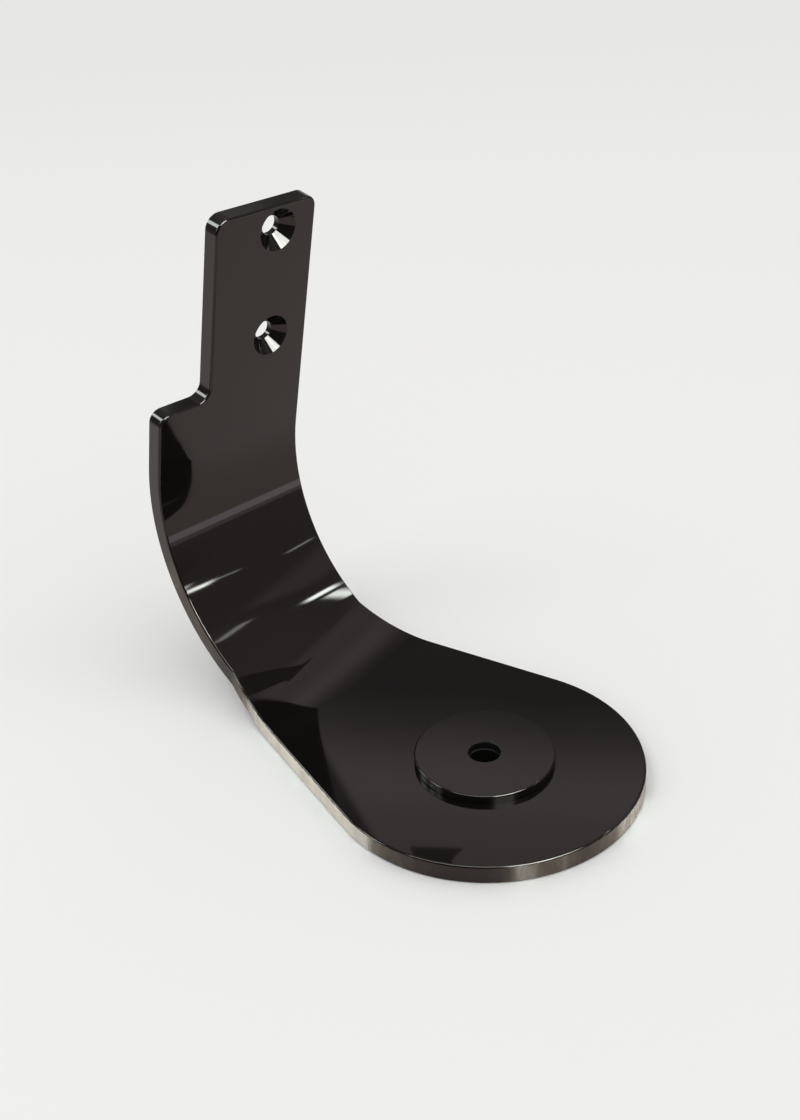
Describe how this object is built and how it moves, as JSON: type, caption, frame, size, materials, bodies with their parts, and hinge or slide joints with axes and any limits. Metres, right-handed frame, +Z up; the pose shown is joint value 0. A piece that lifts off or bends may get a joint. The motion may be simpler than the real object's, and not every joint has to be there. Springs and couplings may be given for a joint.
{
  "type": "thread spool stand",
  "caption": "Bent steel plate with a round foot and a raised seat disc that carries a thread spool, and an upright tab with countersunk screw holes.",
  "frame": {"origin": "middle of the spindle hole, on the underside of the foot", "axes": "+Z up along the spindle hole, +Y from the foot towards the upright, +X across the strip towards the edge that has no notch"},
  "size_m": [0.068, 0.118, 0.11],
  "materials": {
    "plate_finish": "smooth gloss black, mirror-like",
    "seat_finish": "smooth gloss black, mirror-like"
  },
  "bodies": {
    "root": {"bent_plate": "plate_finish", "seat_disc": "seat_finish"}
  },
  "joints": []
}
